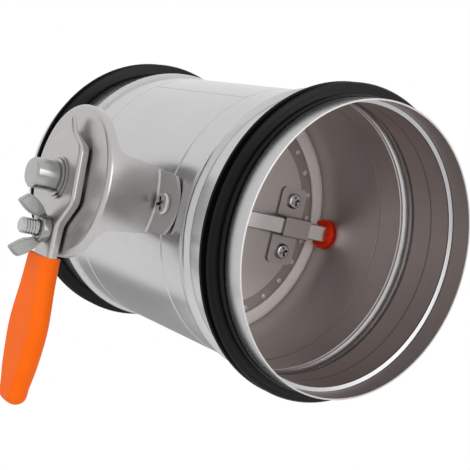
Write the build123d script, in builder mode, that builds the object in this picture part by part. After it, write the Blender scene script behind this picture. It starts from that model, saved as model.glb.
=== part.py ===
"""Manual duct damper for a 125 mm round duct, closed, millimetres.

X runs along the duct, Y along the blade shaft with the handle at -Y, Z is up.
The origin is where the duct axis crosses the shaft axis.
"""
import os

from build123d import *

os.makedirs("parts", exist_ok=True)

# Duct casing
duct_radius = 62.0
sheet = 0.7
half_length = 94.0
rim_strip = 9.6
groove_width = 12.8
groove_depth = 1.5
groove_slope = 0.8
bead_centre = 56.2
bead_width = 6.8
bead_height = 1.8
bead_step = 0.3
bead_step_width = 1.3
line_place = 37.5
line_width = 1.2
line_depth = 0.25
bore_radius = duct_radius - sheet

# Clearances
running_gap = 0.06
seat_gap = 0.1
foot_gap = 0.05
swing_gap = 0.28
slot_gap = 0.3

# Lip gaskets on both ends
gasket_foot = 2.0
lip_height = 5.0
lip_base = 2.6
lip_tip = 1.3
lip_spacing = 5.0
lip_setback = 3.6

# Shaft and its bushes
shaft_side = 8.0
shaft_chamfer = 0.4
neck_side = 5.6
neck_length = 12.8
bush_flange_radius = 7.35
bush_flange = 2.1
bush_wall = 1.8
bush_lip = 0.7
bush_lip_length = 1.8
bush_tail = 2.4

# Blade: two pressed discs, welded at their flanges, with a rubber ring on the edge
blade_sheet = 0.8
channel_depth = 1.2
channel_width = 6.7
channel_slope = 0.8
seal_width = 6.9
seal_grip = 2.8
seal_side = 1.1
seal_tip = 1.6
weld_count = 27
weld_inset = 2.3
weld_radius = 1.35
weld_height = 0.35

# Clips that hold the shaft on the blade
clip_sheet = 1.0
clip_length = 16.0
clip_inset = 9.0
clip_half_span = 19.5
clip_corner = 3.0
clip_screw_place = 13.0

# Screws
screw_radius = 2.0
clip_head_radius = 3.9
foot_head_radius = 4.7
head_height = 2.0
head_round = 1.2
cross_width = 1.4
cross_depth = 1.4
clip_screw_length = 8.4
foot_screw_length = 8.0

# Handle bracket
stand_off = 26.4
bracket_sheet = 1.5
disc_radius = 33.1
disc_edge = 2.0
skirt_depth = 4.5
leg_half_bottom = 14.0
leg_half_top = 16.2
leg_fillet = 5.5
fold_radius = 1.0
tab_length = 14.9
tab_side_length = 9.2
tab_end_half = 12.4
tab_screw_inset = 5.9
mark_inset = 7.7
mark_width = 0.9
mark_depth = 0.3

# Lever and grip
washer_thickness = 1.0
washer_radius = 14.0
lever_thickness = 4.0
lever_tip = 28.3
lever_tip_sheet = 1.8
lever_top_half = 4.4
lever_top_rise = 21.2
lever_shoulder_half = 14.2
lever_shoulder_rise = 15.0
lever_hip_half = 16.6
lever_hip_drop = 8.5
lever_waist_half = 7.6
lever_waist_rise = 3.0
lever_round = 6.0
lever_edge = 1.5
lever_tip_round = 0.8
tang_half_width = 6.2
tang_length = 50.4
grip_gap = 0.5
grip_length = 65.3
grip_neck_half = 9.2
grip_shoulder_half = 10.2
grip_shoulder_drop = 12.0
grip_belly_half = 12.7
grip_belly_drop = 31.0
grip_lower_half = 10.6
grip_lower_drop = 48.0
grip_end_half = 7.6
grip_end_drop = 58.4
grip_bevel = 2.8
grip_wall = 2.5

# Hub on the shaft end
hub_washer_radius = 9.1
hub_washer = 1.0
hub_collar_radius = 8.2
hub_collar = 1.0
hub_radius = 6.5
hub_front = 17.7
hub_chamfer = 0.9

# Clamp bolt and wing nut
bolt_radius = 3.5
bolt_inset = 10.7
bolt_head_radius = 6.5
bolt_head = 3.0
bolt_end = 17.0
bolt_chamfer = 0.7
nut_hub_radius = 5.9
nut_hub = 4.2
nut_chamfer = 0.8
wing_thickness = 2.0
wing_reach = 13.5
wing_rise = 15.1

# Derived places
face_y = duct_radius + stand_off
lever_back = face_y + washer_thickness
lever_front = lever_back + lever_thickness
lever_middle = (lever_back + lever_front) / 2
half_shaft = shaft_side / 2
groove_front = half_length - rim_strip
groove_back = groove_front - groove_width
groove_floor = duct_radius - groove_depth
blade_face = -half_shaft
channel_face = blade_face - channel_depth
blade_middle = channel_face - blade_sheet
seal_back = blade_middle - seal_tip / 2
swing_radius = bore_radius - swing_gap
seal_radius = (swing_radius**2 - seal_back**2) ** 0.5
seal_inner = seal_radius - seal_width
flange_radius = seal_inner + seal_grip
channel_inner = seal_inner - channel_width
weld_circle = seal_inner - weld_inset
clip_place = channel_inner - clip_inset
tab_reach = disc_radius + tab_length
tab_side_end = disc_radius + tab_side_length
tab_screw_place = disc_radius + tab_screw_inset
mark_radius = disc_radius - mark_inset
bolt_place = disc_radius - bolt_inset
grip_top = disc_radius + grip_gap
bush_inner_radius = half_shaft + running_gap
bush_body_radius = bush_inner_radius + bush_wall
bush_seat = (bore_radius**2 - bush_flange_radius**2) ** 0.5 - seat_gap
bush_face = bush_seat - bush_flange
shaft_shoulder = bush_face - seat_gap


def wall_profile(radius):
    """Half of the casing wall line, from the middle of the duct to its rim."""
    low = radius - line_depth
    floor = radius - groove_depth
    bead_back = bead_centre - bead_width / 2
    bead_front = bead_centre + bead_width / 2
    Polyline(
        (0, radius),
        (line_place - line_width / 2, radius),
        (line_place, low),
        (line_place + line_width / 2, radius),
        (bead_back - bead_step_width, radius),
        (bead_back - bead_step_width + bead_step, radius + bead_step),
        (bead_back, radius + bead_step),
    )
    ThreePointArc(
        (bead_back, radius + bead_step),
        (bead_centre, radius + bead_height),
        (bead_front, radius),
    )
    Polyline(
        (bead_front, radius),
        (groove_back, radius),
        (groove_back + groove_slope, floor),
        (groove_front - groove_slope, floor),
        (groove_front, radius),
        (half_length, radius),
    )


# Casing: one rolled tube with grooves, beads and holes for bushes and screws
with BuildPart() as duct_casing:
    with BuildSketch(Plane.XY):
        with BuildLine():
            wall_profile(duct_radius)
            Line((half_length, duct_radius), (half_length, bore_radius))
            wall_profile(bore_radius)
            Line((0, bore_radius), (0, duct_radius))
        make_face()
    revolve(axis=Axis.X)
    mirror(about=Plane.YZ)
    with BuildSketch(Plane.XZ):
        Circle(bush_body_radius + seat_gap / 2)
    extrude(amount=duct_radius * 1.5, both=True, mode=Mode.SUBTRACT)
    with BuildSketch(Plane.XZ):
        with Locations((tab_screw_place, 0), (-tab_screw_place, 0)):
            Circle(screw_radius + seat_gap / 2)
    extrude(amount=duct_radius * 1.5, mode=Mode.SUBTRACT)
duct_casing.part.label = "duct_casing"
export_step(duct_casing.part, "parts/duct_casing.step")

# Lip gaskets: a foot in the groove with two lips that lean on the pipe
gasket_names = ["end_gasket_front", "end_gasket_rear"]
foot_front = groove_front - groove_slope - seat_gap
foot_back = groove_back + groove_slope + seat_gap
foot_low = groove_floor + seat_gap
foot_top = foot_low + gasket_foot
lip_top = foot_top + lip_height
lip_middle = foot_top + lip_height * 0.45
lip_half = (lip_base + lip_tip) / 4
lip_first = foot_front - lip_setback
lip_second = lip_first - lip_spacing
for name, side in zip(gasket_names, (1, -1)):
    with BuildPart() as end_gasket:
        with BuildSketch(Plane.XY):
            with BuildLine():
                Polyline(
                    (side * foot_back, foot_low),
                    (side * foot_front, foot_low),
                    (side * foot_front, foot_top - 0.4),
                    (side * (foot_front - 0.9), foot_top + 0.4),
                    (side * (foot_front - 1.8), foot_top - 0.2),
                    (side * (lip_first + lip_base / 2), foot_top),
                    (side * (lip_first + lip_half + 0.15), lip_middle),
                    (side * (lip_first + lip_half - 0.2), lip_middle + 0.3),
                    (side * (lip_first + lip_tip / 2), lip_top - 0.5),
                    (side * lip_first, lip_top),
                    (side * (lip_first - lip_tip / 2), lip_top - 0.5),
                    (side * (lip_first - lip_base / 2), foot_top + 0.6),
                    (side * (lip_second + lip_base / 2), foot_top + 0.6),
                    (side * (lip_second + lip_tip / 2), lip_top - 0.5),
                    (side * lip_second, lip_top),
                    (side * (lip_second - lip_tip / 2), lip_top - 0.5),
                    (side * (lip_second - lip_base / 2), foot_top),
                    (side * foot_back, foot_top - 0.4),
                    close=True,
                )
            make_face()
        revolve(axis=Axis.X)
    end_gasket.part.label = name
    export_step(end_gasket.part, f"parts/{name}.step")

# Shaft bushes: a flange inside the duct, a body in the wall and a snap lip
bush_names = ["bush_handle_side", "bush_far_side"]
lip_start = duct_radius + seat_gap
for name, side in zip(bush_names, (-1, 1)):
    with BuildPart() as shaft_bush:
        with BuildSketch(Plane.XY):
            with BuildLine():
                Polyline(
                    (bush_inner_radius, side * bush_face),
                    (bush_flange_radius - 0.5, side * bush_face),
                    (bush_flange_radius, side * (bush_face + 0.5)),
                    (bush_flange_radius, side * bush_seat),
                    (bush_body_radius, side * bush_seat),
                    (bush_body_radius, side * lip_start),
                    (bush_body_radius + bush_lip, side * lip_start),
                    (bush_body_radius, side * (lip_start + bush_lip_length)),
                    (bush_body_radius, side * (lip_start + bush_tail)),
                    (bush_inner_radius, side * (lip_start + bush_tail)),
                    close=True,
                )
            make_face()
        revolve(axis=Axis.Y)
    shaft_bush.part.label = name
    export_step(shaft_bush.part, f"parts/{name}.step")

# Shaft: a square bar with round journals and a square neck for lever and hub
far_end = lip_start + bush_tail
with BuildPart() as square_shaft:
    with BuildSketch(Plane.XZ):
        Rectangle(shaft_side, shaft_side)
    extrude(amount=shaft_shoulder, both=True)
    chamfer(square_shaft.edges().filter_by(Axis.Y), shaft_chamfer)
    with BuildSketch(Plane.XZ):
        Circle(half_shaft)
    extrude(amount=lever_back)
    with BuildSketch(Plane.XZ):
        Circle(half_shaft)
    extrude(amount=-far_end)
    with BuildSketch(Plane.XZ.offset(lever_back)):
        Rectangle(neck_side, neck_side)
    extrude(amount=neck_length)
square_shaft.part.label = "square_shaft"
export_step(square_shaft.part, "parts/square_shaft.step")


def disc_profile(face, toward):
    """Section of a pressed disc, face outwards, its flange set back to the middle."""
    back = face + toward * blade_sheet
    low = face + toward * channel_depth
    low_back = back + toward * channel_depth
    half = channel_slope / 2
    Polyline(
        (face, 0),
        (face, channel_inner - half),
        (low, channel_inner + half),
        (low, flange_radius),
        (low_back, flange_radius),
        (low_back, channel_inner + half),
        (back, channel_inner - half),
        (back, 0),
        close=True,
    )


screw_spots = [
    (clip_place, clip_screw_place),
    (clip_place, -clip_screw_place),
    (-clip_place, clip_screw_place),
    (-clip_place, -clip_screw_place),
]
blade_back = 2 * blade_middle - blade_face
disc_names = ["blade_front_disc", "blade_rear_disc"]
for name, face, toward in zip(disc_names, (blade_face, blade_back), (-1, 1)):
    with BuildPart() as blade_disc:
        with BuildSketch(Plane.XY):
            with BuildLine():
                disc_profile(face, toward)
            make_face()
        revolve(axis=Axis.X)
        with BuildSketch(Plane.YZ):
            with Locations(*screw_spots):
                Circle(screw_radius + seat_gap / 2)
        extrude(amount=duct_radius, both=True, mode=Mode.SUBTRACT)
        if toward < 0:
            with BuildSketch(Plane.YZ.offset(channel_face)):
                with PolarLocations(weld_circle, weld_count, 180 / weld_count):
                    Circle(weld_radius)
            extrude(amount=weld_height, taper=30)
    blade_disc.part.label = name
    export_step(blade_disc.part, f"parts/{name}.step")

# Rubber ring that grips the flange edges and closes the gap to the duct wall
notch_radius = bush_flange_radius + 0.6
notch_start = bush_face - 0.5
flange_half = blade_sheet + seat_gap / 2
seal_half = flange_half + seal_side
seal_side_line = [
    (flange_half, flange_radius + seat_gap),
    (flange_half, seal_inner),
    (seal_half - 0.3, seal_inner),
    (seal_half, seal_inner + 0.3),
    (seal_half, seal_inner + seal_width * 0.48),
    (seal_half - 0.4, seal_inner + seal_width * 0.53),
    (seal_half - 0.4, seal_inner + seal_width * 0.76),
    (seal_tip / 2, seal_radius),
]
seal_outline = []
for x, r in seal_side_line:
    seal_outline.append((blade_middle + x, r))
for x, r in reversed(seal_side_line):
    seal_outline.append((blade_middle - x, r))
with BuildPart() as blade_seal:
    with BuildSketch(Plane.XY):
        with BuildLine():
            Polyline(*seal_outline, close=True)
        make_face()
    revolve(axis=Axis.X)
    for side in (1, -1):
        with BuildSketch(Plane.XZ.offset(side * notch_start)):
            Circle(notch_radius)
        extrude(amount=side * duct_radius, mode=Mode.SUBTRACT)
blade_seal.part.label = "blade_seal"
export_step(blade_seal.part, "parts/blade_seal.step")

# Clips: a strap over the shaft with a screwed tab on each side
strap_in = half_shaft + running_gap
strap_out = strap_in + clip_sheet
tab_top = blade_face + clip_sheet
clip_names = ["shaft_clip_handle_side", "shaft_clip_far_side"]
for name, side in zip(clip_names, (-1, 1)):
    with BuildPart() as shaft_clip:
        with BuildSketch(Plane.XZ.offset(-side * clip_place - clip_length / 2)):
            with BuildLine():
                Polyline(
                    (blade_face, clip_half_span),
                    (blade_face, strap_in),
                    (strap_in, strap_in),
                    (strap_in, -strap_in),
                    (blade_face, -strap_in),
                    (blade_face, -clip_half_span),
                    (tab_top, -clip_half_span),
                    (tab_top, -strap_out),
                    (strap_out, -strap_out),
                    (strap_out, strap_out),
                    (tab_top, strap_out),
                    (tab_top, clip_half_span),
                    close=True,
                )
            make_face()
        extrude(amount=clip_length)
        bar_edges = shaft_clip.edges().filter_by(Axis.Y)
        fillet(bar_edges.group_by(Axis.X)[-1], clip_sheet * 0.8)
        tab_edges = shaft_clip.edges().filter_by(Axis.X)
        corner_edges = tab_edges.group_by(Axis.Z)[0] + tab_edges.group_by(Axis.Z)[-1]
        fillet(corner_edges, clip_corner)
        with BuildSketch(Plane.YZ):
            with Locations((side * clip_place, clip_screw_place)):
                Circle(screw_radius + seat_gap / 2)
            with Locations((side * clip_place, -clip_screw_place)):
                Circle(screw_radius + seat_gap / 2)
        extrude(amount=duct_radius, both=True, mode=Mode.SUBTRACT)
    shaft_clip.part.label = name
    export_step(shaft_clip.part, f"parts/{name}.step")

# Pan-head screws with a cross recess, four in the clips and two in the bracket
foot_low_y = duct_radius + foot_gap
foot_top_y = foot_low_y + bracket_sheet
clip_planes = []
for y, z in screw_spots:
    clip_planes.append(Plane(origin=(tab_top, y, z), x_dir=(0, 1, 0), z_dir=(1, 0, 0)))
foot_planes = []
for side in (1, -1):
    spot = (side * tab_screw_place, -foot_top_y, 0)
    foot_planes.append(Plane(origin=spot, x_dir=(1, 0, 0), z_dir=(0, -1, 0)))
screw_sets = [
    ("clip_screws", clip_planes, clip_head_radius, clip_screw_length),
    ("bracket_screws", foot_planes, foot_head_radius, foot_screw_length),
]
for name, planes, head_radius, length in screw_sets:
    with BuildPart() as screws:
        for plane in planes:
            with BuildSketch(plane):
                Circle(head_radius)
            extrude(amount=head_height)
        rims = screws.edges().filter_by(GeomType.CIRCLE)
        head_rims = []
        for plane in planes:
            top = plane.origin + plane.z_dir * head_height
            head_rims.append(rims.sort_by_distance(top)[0])
        fillet(head_rims, head_round)
        for plane in planes:
            with BuildSketch(plane):
                Circle(screw_radius)
            extrude(amount=-length)
            with BuildSketch(plane.offset(head_height - cross_depth)):
                Rectangle(head_radius * 1.25, cross_width, rotation=20)
                Rectangle(cross_width, head_radius * 1.25, rotation=20)
            extrude(amount=head_height, mode=Mode.SUBTRACT)
    screws.part.label = name
    export_step(screws.part, f"parts/{name}.step")

# Handle bracket: a drawn cup with a round face, two legs and two foot tabs
face_back = face_y - bracket_sheet
cup_inner = disc_radius - bracket_sheet
inner_edge = disc_edge - bracket_sheet
fold_out = fold_radius + bracket_sheet
bend = 0.5**0.5
with BuildPart() as handle_bracket:
    with BuildSketch(Plane.XY):
        with BuildLine():
            Line((0, -face_back), (0, -face_y))
            Line((0, -face_y), (disc_radius - disc_edge, -face_y))
            RadiusArc(
                (disc_radius - disc_edge, -face_y),
                (disc_radius, disc_edge - face_y),
                -disc_edge,
            )
            Line(
                (disc_radius, disc_edge - face_y),
                (disc_radius, -foot_top_y - fold_radius),
            )
            RadiusArc(
                (disc_radius, -foot_top_y - fold_radius),
                (disc_radius + fold_radius, -foot_top_y),
                fold_radius,
            )
            Polyline(
                (disc_radius + fold_radius, -foot_top_y),
                (tab_reach + 2, -foot_top_y),
                (tab_reach + 2, -foot_low_y),
                (cup_inner + fold_out, -foot_low_y),
            )
            RadiusArc(
                (cup_inner + fold_out, -foot_low_y),
                (cup_inner, -foot_low_y - fold_out),
                -fold_out,
            )
            Line(
                (cup_inner, -foot_low_y - fold_out),
                (cup_inner, inner_edge - face_back),
            )
            RadiusArc(
                (cup_inner, inner_edge - face_back),
                (cup_inner - inner_edge, -face_back),
                inner_edge,
            )
            Line((cup_inner - inner_edge, -face_back), (0, -face_back))
        make_face()
    revolve(axis=Axis.Y)
    with BuildSketch(Plane.XZ):
        Circle(disc_radius)
        for side in (1, -1):
            with BuildLine():
                Polyline(
                    (side * tab_side_end, -tab_end_half),
                    (side * cup_inner * 0.7, -leg_half_bottom),
                    (side * cup_inner * 0.7, leg_half_bottom),
                    (side * tab_side_end, tab_end_half),
                )
                ThreePointArc(
                    (side * tab_side_end, tab_end_half),
                    (side * tab_reach, 0),
                    (side * tab_side_end, -tab_end_half),
                )
            make_face()
    extrude(amount=face_y * 1.2, mode=Mode.INTERSECT)
    skirt_y = skirt_depth - face_y
    for side in (1, -1):
        with BuildSketch(Plane.YZ):
            with BuildLine():
                Polyline(
                    (-duct_radius * 0.8, side * leg_half_bottom * 0.9),
                    (-foot_low_y, side * leg_half_bottom),
                    (skirt_y, side * leg_half_top),
                    (skirt_y, side * disc_radius * 2),
                    (-duct_radius * 0.8, side * disc_radius * 2),
                    close=True,
                )
            make_face()
            corner = (skirt_y, side * leg_half_top, 0)
            fillet(vertices().sort_by_distance(corner)[0], leg_fillet)
        extrude(amount=disc_radius * 2, both=True, mode=Mode.SUBTRACT)
    with BuildSketch(Plane.XZ):
        Circle(half_shaft + running_gap)
        with Locations((tab_screw_place, 0), (-tab_screw_place, 0)):
            Circle(screw_radius + seat_gap / 2)
    extrude(amount=face_y * 1.2, mode=Mode.SUBTRACT)
    slot_half = bolt_radius + slot_gap
    with BuildSketch(Plane.XZ):
        Circle(bolt_place + slot_half)
        Circle(bolt_place - slot_half, mode=Mode.SUBTRACT)
        quarter = 2 * disc_radius
        Rectangle(quarter, quarter, align=(Align.MAX, Align.MAX), mode=Mode.INTERSECT)
        with Locations((-bolt_place, 0), (0, -bolt_place)):
            Circle(slot_half)
    extrude(amount=face_y * 1.2, mode=Mode.SUBTRACT)
    with BuildSketch(Plane.XZ.offset(face_y - mark_depth)):
        mark_arc = CenterArc((0, 0), mark_radius, 33, 36, mode=Mode.PRIVATE)
        SlotArc(mark_arc, mark_width)
    extrude(amount=1, mode=Mode.SUBTRACT)
handle_bracket.part.label = "handle_bracket"
export_step(handle_bracket.part, "parts/handle_bracket.step")

# Friction washer between the bracket face and the lever
with BuildPart() as friction_washer:
    with BuildSketch(Plane.XZ.offset(face_y)):
        Circle(washer_radius)
        Circle(half_shaft + running_gap, mode=Mode.SUBTRACT)
    extrude(amount=washer_thickness)
friction_washer.part.label = "friction_washer"
export_step(friction_washer.part, "parts/friction_washer.step")

# Lever: a plate with a thin pointed top, a wide middle and a tang for the grip
lever_side = [
    (lever_top_half, lever_top_rise),
    (lever_shoulder_half, lever_shoulder_rise),
    (lever_hip_half, -lever_hip_drop),
    (lever_waist_half, lever_waist_rise - bolt_place),
    (lever_waist_half, -grip_top),
    (tang_half_width, -grip_top),
    (tang_half_width, -grip_top - tang_length),
]
lever_outline = [(0, lever_tip)] + lever_side
for x, z in reversed(lever_side):
    lever_outline.append((-x, z))
with BuildPart() as lever_plate:
    with BuildSketch(Plane.XZ.offset(lever_back)):
        with BuildLine():
            Polyline(*lever_outline, close=True)
        make_face()
        fillet(vertices().sort_by_distance((0, lever_tip, 0))[0], lever_tip_round)
        for x, z in lever_side[:4]:
            for side in (1, -1):
                fillet(vertices().sort_by_distance((side * x, z, 0))[0], lever_round)
    extrude(amount=lever_thickness)
    front_edges = lever_plate.faces().sort_by(Axis.Y)[0].edges()
    bare_edges = [e for e in front_edges if e.center().Z > lever_edge - grip_top]
    fillet(bare_edges, lever_edge)
    with BuildSketch(Plane.YZ):
        with BuildLine():
            Polyline(
                (1 - lever_back, lever_shoulder_rise),
                (-lever_back, lever_shoulder_rise),
                (lever_tip_sheet - lever_front, lever_top_rise),
                (lever_tip_sheet - lever_front, lever_tip * 1.2),
                (1 - lever_back, lever_tip * 1.2),
                close=True,
            )
        make_face()
    extrude(amount=lever_hip_half, both=True, mode=Mode.SUBTRACT)
    with BuildSketch(Plane.XZ):
        Rectangle(neck_side + seat_gap, neck_side + seat_gap)
        with Locations((0, -bolt_place)):
            Circle(bolt_radius + seat_gap / 2)
    extrude(amount=lever_front * 1.2, mode=Mode.SUBTRACT)
lever_plate.part.label = "lever_plate"
export_step(lever_plate.part, "parts/lever_plate.step")

# Grip: a moulded sleeve on the tang with bevelled edges and a round tip
grip_side = [
    (grip_neck_half, -grip_top),
    (grip_shoulder_half, -grip_top - grip_shoulder_drop),
    (grip_belly_half, -grip_top - grip_belly_drop),
    (grip_lower_half, -grip_top - grip_lower_drop),
    (grip_end_half, -grip_top - grip_end_drop),
]
grip_other_side = []
for x, z in grip_side:
    grip_other_side.append((-x, z))
with BuildPart() as lever_grip:
    with BuildSketch(Plane.XZ.offset(lever_middle)):
        with BuildLine():
            Spline(*grip_side)
            ThreePointArc(grip_side[-1], (0, -grip_top - grip_length), grip_other_side[-1])
            Spline(*grip_other_side)
            Line(grip_other_side[0], grip_side[0])
        make_face()
    extrude(amount=lever_thickness / 2 + grip_wall, both=True)
    outer_edges = lever_grip.faces().sort_by(Axis.Y)[0].edges()
    outer_edges += lever_grip.faces().sort_by(Axis.Y)[-1].edges()
    bevel_edges = outer_edges.filter_by(Axis.X, reverse=True)
    chamfer(bevel_edges, grip_bevel)
    with BuildSketch(Plane.XZ.offset(lever_back - seat_gap / 2)):
        with Locations((0, -grip_top - tang_length / 2)):
            Rectangle(2 * tang_half_width + seat_gap, tang_length + seat_gap)
    extrude(amount=lever_thickness + seat_gap, mode=Mode.SUBTRACT)
lever_grip.part.label = "lever_grip"
export_step(lever_grip.part, "parts/lever_grip.step")

# Washer under the hub
with BuildPart() as hub_washer_ring:
    with BuildSketch(Plane.XZ.offset(lever_front)):
        Circle(hub_washer_radius)
        Circle(half_shaft + running_gap, mode=Mode.SUBTRACT)
    extrude(amount=hub_washer)
hub_washer_ring.part.label = "hub_washer"
export_step(hub_washer_ring.part, "parts/hub_washer.step")

# Hub: a turned cap with a collar, pressed on the square neck of the shaft
hub_base = lever_front + hub_washer
with BuildPart() as lever_hub:
    with BuildSketch(Plane.XZ.offset(hub_base)):
        Circle(hub_collar_radius)
    extrude(amount=hub_collar)
    with BuildSketch(Plane.XZ.offset(hub_base)):
        Circle(hub_radius)
    extrude(amount=face_y + hub_front - hub_base)
    hub_rim = lever_hub.faces().sort_by(Axis.Y)[0].edges()
    chamfer(hub_rim, hub_chamfer)
    with BuildSketch(Plane.XZ.offset(hub_base)):
        Rectangle(neck_side + seat_gap, neck_side + seat_gap)
    extrude(amount=lever_back + neck_length + seat_gap - hub_base, mode=Mode.SUBTRACT)
lever_hub.part.label = "lever_hub"
export_step(lever_hub.part, "parts/lever_hub.step")

# Clamp bolt: head behind the bracket face, shank through slot and lever
with BuildPart() as clamp_bolt:
    with BuildSketch(Plane.XZ.offset(face_back - seat_gap)):
        with Locations((0, -bolt_place)):
            Circle(bolt_head_radius)
    extrude(amount=-bolt_head)
    head_rim = clamp_bolt.faces().sort_by(Axis.Y)[-1].edges()
    fillet(head_rim, bolt_head * 0.6)
    with BuildSketch(Plane.XZ.offset(face_back - seat_gap)):
        with Locations((0, -bolt_place)):
            Circle(bolt_radius)
    extrude(amount=face_y + bolt_end - face_back + seat_gap)
    end_rim = clamp_bolt.faces().sort_by(Axis.Y)[0].edges()
    chamfer(end_rim, bolt_chamfer)
clamp_bolt.part.label = "clamp_bolt"
export_step(clamp_bolt.part, "parts/clamp_bolt.step")

# Wing nut: a short hub with two leaf-shaped wings that flare outwards
nut_base = lever_front + seat_gap
wing_root = bolt_radius * 1.25
with BuildPart() as wing_nut:
    with BuildSketch(Plane.XZ.offset(nut_base)):
        with Locations((0, -bolt_place)):
            Circle(nut_hub_radius)
    extrude(amount=nut_hub)
    nut_rim = wing_nut.faces().sort_by(Axis.Y)[0].edges()
    chamfer(nut_rim, nut_chamfer)
    for side in (1, -1):
        leaf = []
        for out, up in (
            (0.37, 0.06), (0.67, 0.13), (0.89, 0.39), (1.0, 0.79), (0.96, 0.92),
            (0.85, 1.0), (0.59, 0.82), (0.4, 0.5), (0.345, 0.32),
        ):
            spot = (-nut_base - up * wing_rise, side * out * wing_reach - bolt_place)
            leaf.append(spot)
        with BuildSketch(Plane.YZ):
            with BuildLine():
                Spline(*leaf[:6])
                Spline(*leaf[5:])
                Polyline(
                    leaf[-1],
                    (-nut_base - nut_hub / 2, side * wing_root - bolt_place),
                    leaf[0],
                )
            make_face()
        extrude(amount=wing_thickness / 2, both=True)
    with BuildSketch(Plane.XZ):
        with Locations((0, -bolt_place)):
            Circle(bolt_radius + running_gap)
    extrude(amount=face_y + hub_front * 2, mode=Mode.SUBTRACT)
wing_nut.part.label = "wing_nut"
export_step(wing_nut.part, "parts/wing_nut.step")
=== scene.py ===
import math

import bmesh
import bpy
from mathutils import Matrix, Vector


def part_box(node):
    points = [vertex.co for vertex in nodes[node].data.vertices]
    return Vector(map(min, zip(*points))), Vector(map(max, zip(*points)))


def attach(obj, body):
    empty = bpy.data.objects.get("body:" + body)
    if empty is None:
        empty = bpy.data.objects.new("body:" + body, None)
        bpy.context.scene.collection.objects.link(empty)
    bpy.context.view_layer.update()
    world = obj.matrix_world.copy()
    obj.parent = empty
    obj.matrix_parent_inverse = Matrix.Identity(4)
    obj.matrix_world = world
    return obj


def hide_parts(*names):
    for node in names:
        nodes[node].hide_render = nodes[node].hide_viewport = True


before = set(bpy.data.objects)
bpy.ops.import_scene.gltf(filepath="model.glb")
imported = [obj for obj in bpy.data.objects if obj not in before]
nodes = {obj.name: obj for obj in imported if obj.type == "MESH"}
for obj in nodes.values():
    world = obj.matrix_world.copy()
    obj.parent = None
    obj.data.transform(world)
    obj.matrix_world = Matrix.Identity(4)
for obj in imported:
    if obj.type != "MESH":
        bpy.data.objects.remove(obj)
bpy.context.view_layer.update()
scene = bpy.context.scene
scene.view_settings.view_transform = "Standard"

# Sizes that several sections use, in metres, and the angle up to which faces run smoothly together
duct_radius = 0.062
blade_sheet = 0.0008
inner_wall = (0.05, 0.0616)
smooth_limit = math.radians(32)

# Sockets of the Mix node by number, because its data types share their names
mix_share = 0
float_a, float_b, float_out = 2, 3, 0
color_a, color_b, color_out = 6, 7, 2


# Material helpers

def shader_of(mat):
    return mat.node_tree.nodes["Principled BSDF"]


def material(name, color, roughness, metallic=0.0):
    """A new node material, with the plain values set on its shader."""
    mat = bpy.data.materials.new(name)
    mat.use_nodes = True
    shader = shader_of(mat)
    shader.inputs["Base Color"].default_value = (*color, 1)
    shader.inputs["Roughness"].default_value = roughness
    shader.inputs["Metallic"].default_value = metallic
    return mat


def add(owner, kind, **settings):
    """A node of that kind, with settings for its properties and its inputs by name."""
    node = owner.node_tree.nodes.new(kind)
    for key, value in settings.items():
        name = key.replace("_", " ").title()
        if name in node.inputs:
            node.inputs[name].default_value = value
        else:
            setattr(node, key, value)
    return node


def link(owner, source, target):
    owner.node_tree.links.new(source, target)


def coordinates(mat, scale=(1, 1, 1)):
    """Object coordinates, stretched by scale."""
    place = add(mat, "ShaderNodeTexCoord")
    stretch = add(mat, "ShaderNodeMapping")
    stretch.inputs["Scale"].default_value = scale
    link(mat, place.outputs["Object"], stretch.inputs["Vector"])
    return stretch.outputs["Vector"]


def noise(mat, vector, scale, detail):
    node = add(mat, "ShaderNodeTexNoise", scale=scale, detail=detail)
    link(mat, vector, node.inputs["Vector"])
    return node.outputs["Fac"]


def blend(mat, first, second, share):
    """Two values mixed, with that share of the second."""
    node = add(mat, "ShaderNodeMix", data_type="FLOAT")
    node.inputs[mix_share].default_value = share
    link(mat, first, node.inputs[float_a])
    link(mat, second, node.inputs[float_b])
    return node.outputs[float_out]


def ramp(mat, source, stops):
    """A colour ramp fed by source, with (place, colour) stops."""
    node = add(mat, "ShaderNodeValToRGB")
    elements = node.color_ramp.elements
    while len(elements) < len(stops):
        elements.new(0.5)
    for element, (place, color) in zip(elements, stops):
        element.position = place
        element.color = (*color, 1)
    link(mat, source, node.inputs["Fac"])
    return node.outputs["Color"]


def vary_roughness(mat, source, low, high):
    node = add(mat, "ShaderNodeMapRange")
    node.inputs["To Min"].default_value = low
    node.inputs["To Max"].default_value = high
    link(mat, source, node.inputs["Value"])
    link(mat, node.outputs["Result"], shader_of(mat).inputs["Roughness"])


def add_bump(mat, source, strength, distance):
    node = add(mat, "ShaderNodeBump")
    node.inputs["Strength"].default_value = strength
    node.inputs["Distance"].default_value = distance
    link(mat, source, node.inputs["Height"])
    link(mat, node.outputs["Normal"], shader_of(mat).inputs["Normal"])


def shade(color, factor):
    return tuple(min(1, c * factor) for c in color)


def axis_distance(mat):
    """Distance from the duct axis."""
    place = add(mat, "ShaderNodeTexCoord")
    flat = add(mat, "ShaderNodeVectorMath", operation="MULTIPLY")
    flat.inputs[1].default_value = (0, 1, 1)
    link(mat, place.outputs["Object"], flat.inputs[0])
    length = add(mat, "ShaderNodeVectorMath", operation="LENGTH")
    link(mat, flat.outputs["Vector"], length.inputs[0])
    return length.outputs["Value"]


def band(mat, source, start, end):
    """A mask that is 1 where source lies between start and end."""
    node = add(mat, "ShaderNodeMath", operation="COMPARE")
    node.inputs[1].default_value = (start + end) / 2
    node.inputs[2].default_value = (end - start) / 2
    link(mat, source, node.inputs[0])
    return node.outputs[0]


def multiply_color(mat):
    """A node that multiplies the material's colour by the node's second colour."""
    base = shader_of(mat).inputs["Base Color"]
    node = add(mat, "ShaderNodeMix", data_type="RGBA", blend_type="MULTIPLY")
    link(mat, base.links[0].from_socket, node.inputs[color_a])
    link(mat, node.outputs[color_out], base)
    return node


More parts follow.
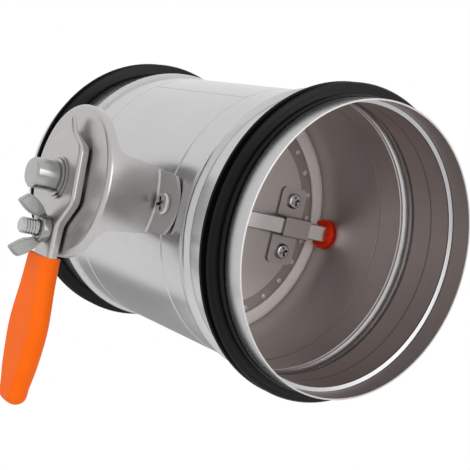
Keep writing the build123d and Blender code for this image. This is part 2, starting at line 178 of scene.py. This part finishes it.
def tint_where(mat, mask, tint):
    """Multiplies the colour by tint where mask is 1."""
    node = multiply_color(mat)
    node.inputs[color_b].default_value = (*tint, 1)
    link(mat, mask, node.inputs[mix_share])


# Kinds of material and what is laid over them

def sheet_metal(name, color, roughness, grain=(900, 900, 900), spangle=0.0, metallic=1.0):
    """Rolled or plated sheet: fine grain in colour and gloss, with soft cloudy patches."""
    color_spread, gloss_spread, cloud_share = 0.05, 0.04, 0.6
    mat = material(name, color, roughness, metallic)
    fine = noise(mat, coordinates(mat, grain), scale=1.0, detail=3.0)
    cloud = noise(mat, coordinates(mat), scale=26.0, detail=4.0)
    value = blend(mat, fine, cloud, cloud_share)
    if spangle:
        cells = add(mat, "ShaderNodeTexVoronoi", scale=320.0)
        link(mat, coordinates(mat), cells.inputs["Vector"])
        gray = add(mat, "ShaderNodeRGBToBW")
        link(mat, cells.outputs["Color"], gray.inputs["Color"])
        value = blend(mat, value, gray.outputs["Val"], spangle)
    stops = [(0.25, shade(color, 1 - color_spread)), (0.75, shade(color, 1 + color_spread))]
    link(mat, ramp(mat, value, stops), shader_of(mat).inputs["Base Color"])
    vary_roughness(mat, value, roughness - gloss_spread, roughness + gloss_spread)
    add_bump(mat, fine, strength=0.025, distance=0.0001)
    return mat


def moulded(name, color, roughness, specular):
    """Moulded plastic or rubber: fine skin grain and slightly uneven colour."""
    color_spread = 0.05
    mat = material(name, color, roughness)
    shader_of(mat).inputs["Specular IOR Level"].default_value = specular
    fine = noise(mat, coordinates(mat), scale=1400.0, detail=2.0)
    cloud = noise(mat, coordinates(mat), scale=40.0, detail=3.0)
    stops = [(0.3, shade(color, 1 - color_spread)), (0.7, shade(color, 1 + color_spread))]
    link(mat, ramp(mat, cloud, stops), shader_of(mat).inputs["Base Color"])
    vary_roughness(mat, cloud, roughness - 0.05, roughness + 0.08)
    add_bump(mat, fine, strength=0.12, distance=0.0001)
    return mat


def radius_band(mat, start, end, tint, rougher):
    """Tints and roughens the sheet between two distances from the duct axis."""
    mask = band(mat, axis_distance(mat), start, end)
    gloss = shader_of(mat).inputs["Roughness"]
    more = add(mat, "ShaderNodeMath", operation="MULTIPLY_ADD")
    more.inputs[1].default_value = rougher
    link(mat, mask, more.inputs[0])
    link(mat, gloss.links[0].from_socket, more.inputs[2])
    link(mat, more.outputs[0], gloss)
    tint_where(mat, mask, tint)


def inner_rings(mat, rings):
    """Rings on the inner wall at both ends, (start, end, tint) by distance from the middle."""
    place = add(mat, "ShaderNodeTexCoord")
    split = add(mat, "ShaderNodeSeparateXYZ")
    link(mat, place.outputs["Object"], split.inputs["Vector"])
    along = add(mat, "ShaderNodeMath", operation="ABSOLUTE")
    link(mat, split.outputs["X"], along.inputs[0])
    wall = band(mat, axis_distance(mat), *inner_wall)
    for start, end, tint in rings:
        both = add(mat, "ShaderNodeMath", operation="MULTIPLY")
        link(mat, wall, both.inputs[0])
        link(mat, band(mat, along.outputs[0], start, end), both.inputs[1])
        tint_where(mat, both.outputs[0], tint)


def painted_edge_shade(mat, axis, tint):
    """Paints shade on the cut edges of a sheet, the faces that don't look along axis."""
    lean = 0.45
    place = add(mat, "ShaderNodeTexCoord")
    split = add(mat, "ShaderNodeSeparateXYZ")
    link(mat, place.outputs["Normal"], split.inputs["Vector"])
    tint_where(mat, band(mat, split.outputs[axis], -lean, lean), tint)


def painted_corner_shade(mat, reach, tint):
    """Paints shade into the colour of the corners where faces meet closely, from an occlusion
    node.
    """
    corner = add(mat, "ShaderNodeAmbientOcclusion", samples=8)
    corner.inputs["Distance"].default_value = reach
    depth = ramp(mat, corner.outputs["AO"], [(0.3, tint), (0.85, (1, 1, 1))])
    node = multiply_color(mat)
    node.inputs[mix_share].default_value = 1.0
    link(mat, depth, node.inputs[color_b])


# The part's materials
galvanised = sheet_metal("galvanised_sheet", (0.54, 0.54, 0.54), 0.23, spangle=0.12)
bracket_steel = sheet_metal("bracket_steel", (0.49, 0.475, 0.47), 0.31)
blade_steel = sheet_metal("blade_steel", (0.46, 0.43, 0.415), 0.30)
disc_steel = sheet_metal("disc_steel", (0.50, 0.465, 0.45), 0.30)
shaft_steel = sheet_metal("drawn_steel", (0.72, 0.71, 0.705), 0.26, grain=(2400, 60, 2400))
weld_steel = sheet_metal("weld_steel", (0.60, 0.55, 0.53), 0.45, metallic=0.4)
zinc = sheet_metal("bright_zinc", (0.50, 0.50, 0.495), 0.18)
cast_zinc = sheet_metal("cast_zinc", (0.32, 0.32, 0.315), 0.22)
turned_zinc = sheet_metal("turned_zinc", (0.42, 0.42, 0.415), 0.22)
rubber = moulded("black_rubber", (0.004, 0.004, 0.004), 0.30, specular=0.17)
pale_rubber = moulded("pale_rubber", (0.85, 0.81, 0.79), 0.45, specular=0.4)
orange = moulded("orange_plastic", (1.0, 0.145, 0.003), 0.42, specular=0.09)
red = moulded("red_plastic", (1.0, 0.03, 0.0), 0.4, specular=0.15)

# Inside the duct the sheet is warmer and duller than outside
radius_band(galvanised, *inner_wall, tint=(1.06, 0.97, 0.95), rougher=0.16)

# Inside, fine dark rings of painted shade are laid at the edges of the bead and of the gasket
# groove
inner_rings(galvanised, [
    (0.0596, 0.0606, (0.35, 0.35, 0.35)),
    (0.0723, 0.0731, (0.5, 0.5, 0.5)),
    (0.0830, 0.0836, (0.25, 0.25, 0.25)),
    (0.0836, 0.0844, (0.87, 0.95, 0.97)),
    (0.0844, 0.0850, (0.25, 0.25, 0.25)),
])

# On the blade the set-back flange gets painted shade as a recess, and the clips get painted shade
# on their cut edges
radius_band(disc_steel, 0.0469, 0.0575, tint=(0.64, 0.62, 0.62), rougher=0.1)
painted_edge_shade(blade_steel, "X", (0.3, 0.3, 0.3))

# Small plated parts get painted shade where they meet and in their recesses
for plated in (zinc, cast_zinc, turned_zinc):
    painted_corner_shade(plated, 0.0012, (0.06, 0.06, 0.06))


# Finish of each CAD node, with the width of its soft edges or None for crisp ones

def soften_edges(piece, width, segments):
    bevel = piece.modifiers.new("soft_edges", "BEVEL")
    bevel.width = width
    bevel.segments = segments
    bevel.limit_method = "ANGLE"
    bevel.angle_limit = smooth_limit
    bevel.harden_normals = True


def split_edges(piece, angle):
    cut = piece.modifiers.new("crisp_edges", "EDGE_SPLIT")
    cut.split_angle = angle


finishes = {
    "duct_casing": (galvanised, 0.00012),
    "end_gasket_front": (rubber, None),
    "end_gasket_rear": (rubber, None),
    "handle_bracket": (bracket_steel, 0.0003),
    "bracket_screws": (zinc, 0.00015),
    "bush_handle_side": (red, 0.0003),
    "bush_far_side": (red, 0.0003),
    "square_shaft": (shaft_steel, 0.0002),
    "blade_front_disc": (disc_steel, None),
    "blade_rear_disc": (disc_steel, None),
    "blade_seal": (pale_rubber, None),
    "shaft_clip_handle_side": (blade_steel, 0.0002),
    "shaft_clip_far_side": (blade_steel, 0.0002),
    "clip_screws": (zinc, 0.00015),
    "friction_washer": (zinc, None),
    "lever_plate": (bracket_steel, None),
    "lever_grip": (orange, None),
    "lever_hub": (turned_zinc, 0.0003),
    "hub_washer": (zinc, 0.0002),
    "clamp_bolt": (zinc, None),
    "wing_nut": (cast_zinc, None),
}
for name, (finish, soft_width) in finishes.items():
    piece = nodes[name]
    piece.data.materials.clear()
    piece.data.materials.append(finish)
    for polygon in piece.data.polygons:
        polygon.use_smooth = True
    if soft_width:
        soften_edges(piece, soft_width, segments=2)
    else:
        split_edges(piece, smooth_limit)
    even = piece.modifiers.new("even_faces", "WEIGHTED_NORMAL")
    even.weight = 100
    even.keep_sharp = True


# Mesh helpers

def ring(form, sides, spot):
    """A closed row of points, at spot(angle) for each side."""
    row = []
    for i in range(sides):
        row.append(form.verts.new(spot(2 * math.pi * i / sides)))
    return row


def bridge(form, rows):
    """Faces between each closed row of points and the next."""
    for low, high in zip(rows, rows[1:]):
        for i in range(len(low)):
            j = (i + 1) % len(low)
            form.faces.new((low[i], low[j], high[j], high[i]))


def close_ends(form, rows):
    form.faces.new(list(reversed(rows[0])))
    form.faces.new(rows[-1])


def add_piece(name, form, finish, smooth=True):
    """A new object made of the form, which is used up."""
    bmesh.ops.recalc_face_normals(form, faces=form.faces)
    mesh = bpy.data.meshes.new(name)
    form.to_mesh(mesh)
    form.free()
    for polygon in mesh.polygons:
        polygon.use_smooth = smooth
    mesh.materials.append(finish)
    piece = bpy.data.objects.new(name, mesh)
    scene.collection.objects.link(piece)
    return piece


# Grip with flat faces and softly bulged sides, moulded over the tang
grip_low, grip_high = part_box("lever_grip")
grip_top = grip_high[2]
grip_length = grip_high[2] - grip_low[2]
grip_half = (grip_high[1] - grip_low[1]) / 2
grip_middle = (grip_high[1] + grip_low[1]) / 2
widths = [(0.0, 0.0092), (0.012, 0.0102), (0.031, 0.0127), (0.048, 0.0106), (0.0584, 0.0076)]
side_bulge = 0.0028
end_power = 0.65
side_steps, end_steps, depth_steps = 59, 24, 14


def smooth_width(drop):
    """Half width of the grip at a drop below its top, a smooth curve through the widths."""
    last = len(widths) - 1
    k = 0
    while k < last - 1 and drop > widths[k + 1][0]:
        k += 1
    (d0, w0), (d1, w1) = widths[max(k - 1, 0)], widths[k]
    (d2, w2), (d3, w3) = widths[k + 1], widths[min(k + 2, last)]
    t = (drop - d1) / (d2 - d1)
    start_slope = (w2 - w0) / (d2 - d0) * (d2 - d1)
    end_slope = (w3 - w1) / (d3 - d1) * (d2 - d1)
    value = (2 * t**3 - 3 * t**2 + 1) * w1 + (3 * t**2 - 2 * t**3) * w2
    return value + (t**3 - 2 * t**2 + t) * start_slope + (t**3 - t**2) * end_slope


outline = []
end_drop, end_half = widths[-1]
for k in range(side_steps + 1):
    drop = end_drop * k / side_steps
    outline.append(Vector((smooth_width(drop), 0, -drop)))
for k in range(1, end_steps + 1):
    angle = math.pi / 2 * k / end_steps
    sink = (grip_length - end_drop) * math.sin(angle) ** end_power
    outline.append(Vector((end_half * math.cos(angle) ** end_power, 0, -end_drop - sink)))
inward = []
for k in range(len(outline)):
    before = outline[max(k - 1, 0)]
    after = outline[min(k + 1, len(outline) - 1)]
    along = (after - before).normalized()
    inward.append(Vector((along.z, 0, -along.x)))
inward[0] = Vector((-1, 0, 0))
inward[-1] = Vector((0, 0, 1))
bulge_radius = (grip_half**2 + side_bulge**2) / (2 * side_bulge)
form = bmesh.new()
layers = []
for k in range(depth_steps + 1):
    depth = -grip_half + 2 * grip_half * k / depth_steps
    inset = bulge_radius - math.sqrt(bulge_radius**2 - depth**2)
    side = [spot + turn * inset for spot, turn in zip(outline, inward)]
    layer = []
    for spot in side:
        layer.append(form.verts.new((spot.x, grip_middle + depth, grip_top + spot.z)))
    for spot in reversed(side[:-1]):
        layer.append(form.verts.new((-spot.x, grip_middle + depth, grip_top + spot.z)))
    layers.append(layer)
bridge(form, layers)
close_ends(form, layers)
grip = add_piece("grip_body", form, orange)
split_edges(grip, math.radians(18))
# The orange stays out of the metal's reflections, as in the photograph
grip.visible_glossy = False
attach(grip, "rotor")
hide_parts("lever_grip")


# Clamp bolt with a rolled thread on the end that sticks out of the wing nut
bolt_low, bolt_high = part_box("clamp_bolt")
bolt_z = (bolt_low[2] + bolt_high[2]) / 2
bolt_tip = bolt_low[1]
bolt_radius, bolt_sides, tip_chamfer = 0.0035, 72, 0.0007
head_back = bolt_high[1]
head_radius = (bolt_high[0] - bolt_low[0]) / 2
head_height, head_round, head_round_steps = 0.003, 0.0018, 6
head_flat = 0.55
head_face = head_back - head_height
thread_start, thread_end = -0.0984, bolt_tip + tip_chamfer
pitch, thread_depth, thread_crest = 0.00125, 0.00055, 0.0001
thread_rings, fade_rings = 70, 6


def plain(y, radius):
    """A round ring of the bolt, as (y, radius) by angle."""
    return lambda angle: (y, radius)


def thread(y, fade):
    """A ring through the thread, as (y, radius) by angle."""
    def place(angle):
        turn = ((thread_start - y) / pitch - angle / (2 * math.pi)) % 1.0
        height = abs(2 * turn - 1)
        return y, bolt_radius + thread_crest - thread_depth * fade * height
    return place


def turned(place):
    """The point at an angle on a ring that is given as (y, radius) by angle."""
    def spot(angle):
        y, radius = place(angle)
        return radius * math.cos(angle), y, radius * math.sin(angle)
    return spot


rings = [plain(head_back, head_radius * head_flat)]
for k in range(1, head_round_steps + 1):
    angle = math.pi / 2 * k / head_round_steps
    y = head_back - head_round + head_round * math.cos(angle)
    rings.append(plain(y, head_radius - head_round + head_round * math.sin(angle)))
rings.append(plain(head_face, head_radius))
rings.append(plain(head_face, bolt_radius))
rings.append(plain(thread_start, bolt_radius))
for k in range(thread_rings + 1):
    y = thread_start + (thread_end - thread_start) * k / thread_rings
    rings.append(thread(y, min(1, k / fade_rings)))
rings.append(plain(bolt_tip, bolt_radius - tip_chamfer))
form = bmesh.new()
rows = [ring(form, bolt_sides, turned(place)) for place in rings]
bridge(form, rows)
close_ends(form, rows)
bolt = add_piece("clamp_bolt_threaded", form, zinc)
split_edges(bolt, math.radians(40))
bolt.location.z = bolt_z
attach(bolt, "rotor")
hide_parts("clamp_bolt")


# Wing nut with a round-edged hub and two pressed wings that have a raised rim
nut_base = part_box("wing_nut")[1][1]
hub_height, hub_round, hub_outer, hub_bore = 0.0042, 0.0010, 0.0059, 0.00356
hub_sides, hub_round_steps = 64, 6
wing_half, rim_width, rim_slope, rim_height = 0.0010, 0.0006, 0.0001, 0.0003
# Points of a wing as (rise from the lever, distance from the bolt's axis)
wing_outline = [
    (0.0004, 0.0052), (0.0019, 0.0066), (0.0038, 0.0092), (0.0070, 0.0118), (0.0098, 0.0132),
    (0.0108, 0.0134), (0.0116, 0.0131), (0.0146, 0.0106), (0.0150, 0.0100), (0.0147, 0.0094),
    (0.0129, 0.0080), (0.0111, 0.0066), (0.0086, 0.0052), (0.0051, 0.0045), (0.0021, 0.0044),
]
profile = [(0.0, hub_bore), (0.0, hub_outer)]
for k in range(hub_round_steps + 1):
    angle = math.pi / 2 * k / hub_round_steps
    rise = hub_height - hub_round + hub_round * math.sin(angle)
    profile.append((rise, hub_outer - hub_round + hub_round * math.cos(angle)))
profile.append((hub_height, hub_bore))


def hub_spot(rise, radius):
    """The point at an angle on a ring of the wing nut's hub."""
    return lambda turn: (
        radius * math.cos(turn), nut_base - rise, bolt_z + radius * math.sin(turn)
    )


form = bmesh.new()
rows = [ring(form, hub_sides, hub_spot(rise, radius)) for rise, radius in profile]
bridge(form, rows + rows[:1])
for side in (1, -1):
    sheets = []
    for x in (wing_half, -wing_half):
        spots = []
        for rise, out in wing_outline:
            spots.append(form.verts.new((x, nut_base - rise, bolt_z + side * out)))
        sheets.append(spots)
    faces = [form.faces.new(spots) for spots in sheets]
    bridge(form, sheets)
    bmesh.ops.recalc_face_normals(form, faces=form.faces)
    for face in faces:
        bmesh.ops.inset_region(form, faces=[face], thickness=rim_width, use_even_offset=True)
        bmesh.ops.inset_region(
            form, faces=[face], thickness=rim_slope, depth=-rim_height, use_even_offset=True
        )
pressed_nut = add_piece("wing_nut_pressed", form, cast_zinc)
soften_edges(pressed_nut, 0.00025, segments=3)
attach(pressed_nut, "nut")
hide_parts("wing_nut")


# Bright spot welds on the set-back flange of the blade
channel_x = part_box("blade_front_disc")[0][0] + blade_sheet
weld_count, weld_circle, weld_sides = 27, 0.0514, 20
# Profile of a weld's dome as (height over the flange, radius)
dome = [(-0.0001, 0.00155), (0.0003, 0.00145), (0.00048, 0.0011), (0.00055, 0.0005)]


def dome_spot(middle, height, radius):
    """The point at an angle on a ring of a weld's dome."""
    return lambda turn: middle + Vector((height, radius * math.cos(turn), radius * math.sin(turn)))


form = bmesh.new()
for k in range(weld_count):
    angle = math.radians((k + 0.5) * 360 / weld_count)
    middle = Vector((channel_x, weld_circle * math.cos(angle), weld_circle * math.sin(angle)))
    rows = [ring(form, weld_sides, dome_spot(middle, height, radius)) for height, radius in dome]
    bridge(form, rows)
    close_ends(form, rows)
welds = add_piece("weld_spots", form, weld_steel)
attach(welds, "rotor")


# Lock seam of the rolled tube, a faint raised strip along the casing
seam_angle = math.radians(123)
seam_end = 0.0365
# Section of the seam as (place round the casing, height over its wall)
seam_section = [(-0.0008, -0.0001), (-0.0005, 0.00018), (0.0005, 0.00018), (0.0008, -0.0001)]
form = bmesh.new()
rows = []
for x in (-seam_end, seam_end):
    row = []
    for along, height in seam_section:
        angle = seam_angle + along / duct_radius
        radius = duct_radius + height
        row.append(form.verts.new((x, radius * math.cos(angle), radius * math.sin(angle))))
    rows.append(row)
bridge(form, rows)
close_ends(form, rows)
seam = add_piece("casing_seam", form, galvanised, smooth=False)
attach(seam, "casing")


# Floor and world, white where they are looked at or mirrored

def shown(owner):
    """1 for camera, glossy and transmission rays, and 0 for the rays that light the part."""
    path = add(owner, "ShaderNodeLightPath")
    seen = path.outputs["Is Camera Ray"]
    for kind in ("Is Glossy Ray", "Is Transmission Ray"):
        either = add(owner, "ShaderNodeMath", operation="MAXIMUM")
        link(owner, seen, either.inputs[0])
        link(owner, path.outputs[kind], either.inputs[1])
        seen = either.outputs[0]
    return seen


floor_radius, floor_height, floor_sides = 0.27, -0.28, 96
floor_lit, floor_shown = 0.9, 1.2
floor_mesh = bpy.data.meshes.new("floor")
corners = []
for k in range(floor_sides):
    angle = 2 * math.pi * k / floor_sides
    corners.append((floor_radius * math.cos(angle), floor_radius * math.sin(angle), floor_height))
floor_mesh.from_pydata(corners, [], [tuple(range(floor_sides))])
floor = bpy.data.objects.new("floor", floor_mesh)
scene.collection.objects.link(floor)
pale = material("pale_floor", (floor_lit, floor_lit, floor_lit), 0.8)
shader_of(pale).inputs["Specular IOR Level"].default_value = 0.0
floor_color = add(pale, "ShaderNodeMix", data_type="RGBA")
floor_color.inputs[color_a].default_value = (floor_lit, floor_lit, floor_lit, 1)
floor_color.inputs[color_b].default_value = (floor_shown, floor_shown, floor_shown, 1)
link(pale, shown(pale), floor_color.inputs[mix_share])
link(pale, floor_color.outputs[color_out], shader_of(pale).inputs["Base Color"])
floor_mesh.materials.append(pale)

world = bpy.data.worlds.new("studio")
scene.world = world
world.use_nodes = True
background = world.node_tree.nodes["Background"]
background.inputs["Color"].default_value = (1, 1, 1, 1)
level = add(world, "ShaderNodeMapRange")
level.inputs["To Min"].default_value = 0.66
level.inputs["To Max"].default_value = 1.0
link(world, shown(world), level.inputs["Value"])
link(world, level.outputs["Result"], background.inputs["Strength"])


# Lamps, and cards for the metal to mirror

def lamp(name, place, size, watts):
    """A square soft lamp that points at the origin."""
    data = bpy.data.lights.new(name, "AREA")
    data.size = size
    data.energy = watts
    piece = bpy.data.objects.new(name, data)
    piece.location = place
    piece.rotation_euler = (-Vector(place)).to_track_quat("-Z", "Y").to_euler()
    scene.collection.objects.link(piece)


lamp("key", (0.42, -0.88, 0.35), 1.3, 4.6)
lamp("fill", (0.95, 0.2, 0.25), 0.7, 3.0)


def flag(name, place, width, height, finish):
    """A card beside the set that only reflections see, as photographers use for metal."""
    mesh = bpy.data.meshes.new(name)
    half, tall = width / 2, height / 2
    corners = [(-half, -tall, 0), (half, -tall, 0), (half, tall, 0), (-half, tall, 0)]
    mesh.from_pydata(corners, [], [(0, 1, 2, 3)])
    mesh.materials.append(finish)
    card = bpy.data.objects.new(name, mesh)
    card.location = place
    card.rotation_euler = (-Vector(place)).to_track_quat("-Z", "Y").to_euler()
    scene.collection.objects.link(card)
    card.visible_camera = False
    card.visible_diffuse = False
    card.visible_transmission = False
    card.visible_shadow = False


dark_card = material("dark_card", (0.02, 0.02, 0.02), 0.9)
grey_card = material("grey_card", (0.46, 0.46, 0.46), 0.9)
flag("flag_front", (-0.35, -0.80, 0.0), 0.30, 1.2, dark_card)
flag("flag_low", (-0.74, 0.34, -0.50), 0.90, 0.66, grey_card)
# This card closes the back of the key lamp
flag("key_back", (0.44, -0.92, 0.37), 1.40, 1.40, dark_card)


# Camera at the photograph's viewing angle
right = Vector((0.576049, 0.783626, 0.232591))
up = Vector((-0.180345, -0.155694, 0.971203))
back = Vector((0.797273, -0.601407, 0.051635))
place = Vector((0.386946, -0.286932, 0.015706))
data = bpy.data.cameras.new("camera")
data.sensor_width = 36.0
data.sensor_fit = "HORIZONTAL"
data.lens = 77.082
data.clip_start = 0.01
camera = bpy.data.objects.new("camera", data)
camera.matrix_world = Matrix((
    (right.x, up.x, back.x, place.x),
    (right.y, up.y, back.y, place.y),
    (right.z, up.z, back.z, place.z),
    (0, 0, 0, 1),
))
scene.collection.objects.link(camera)
scene.camera = camera
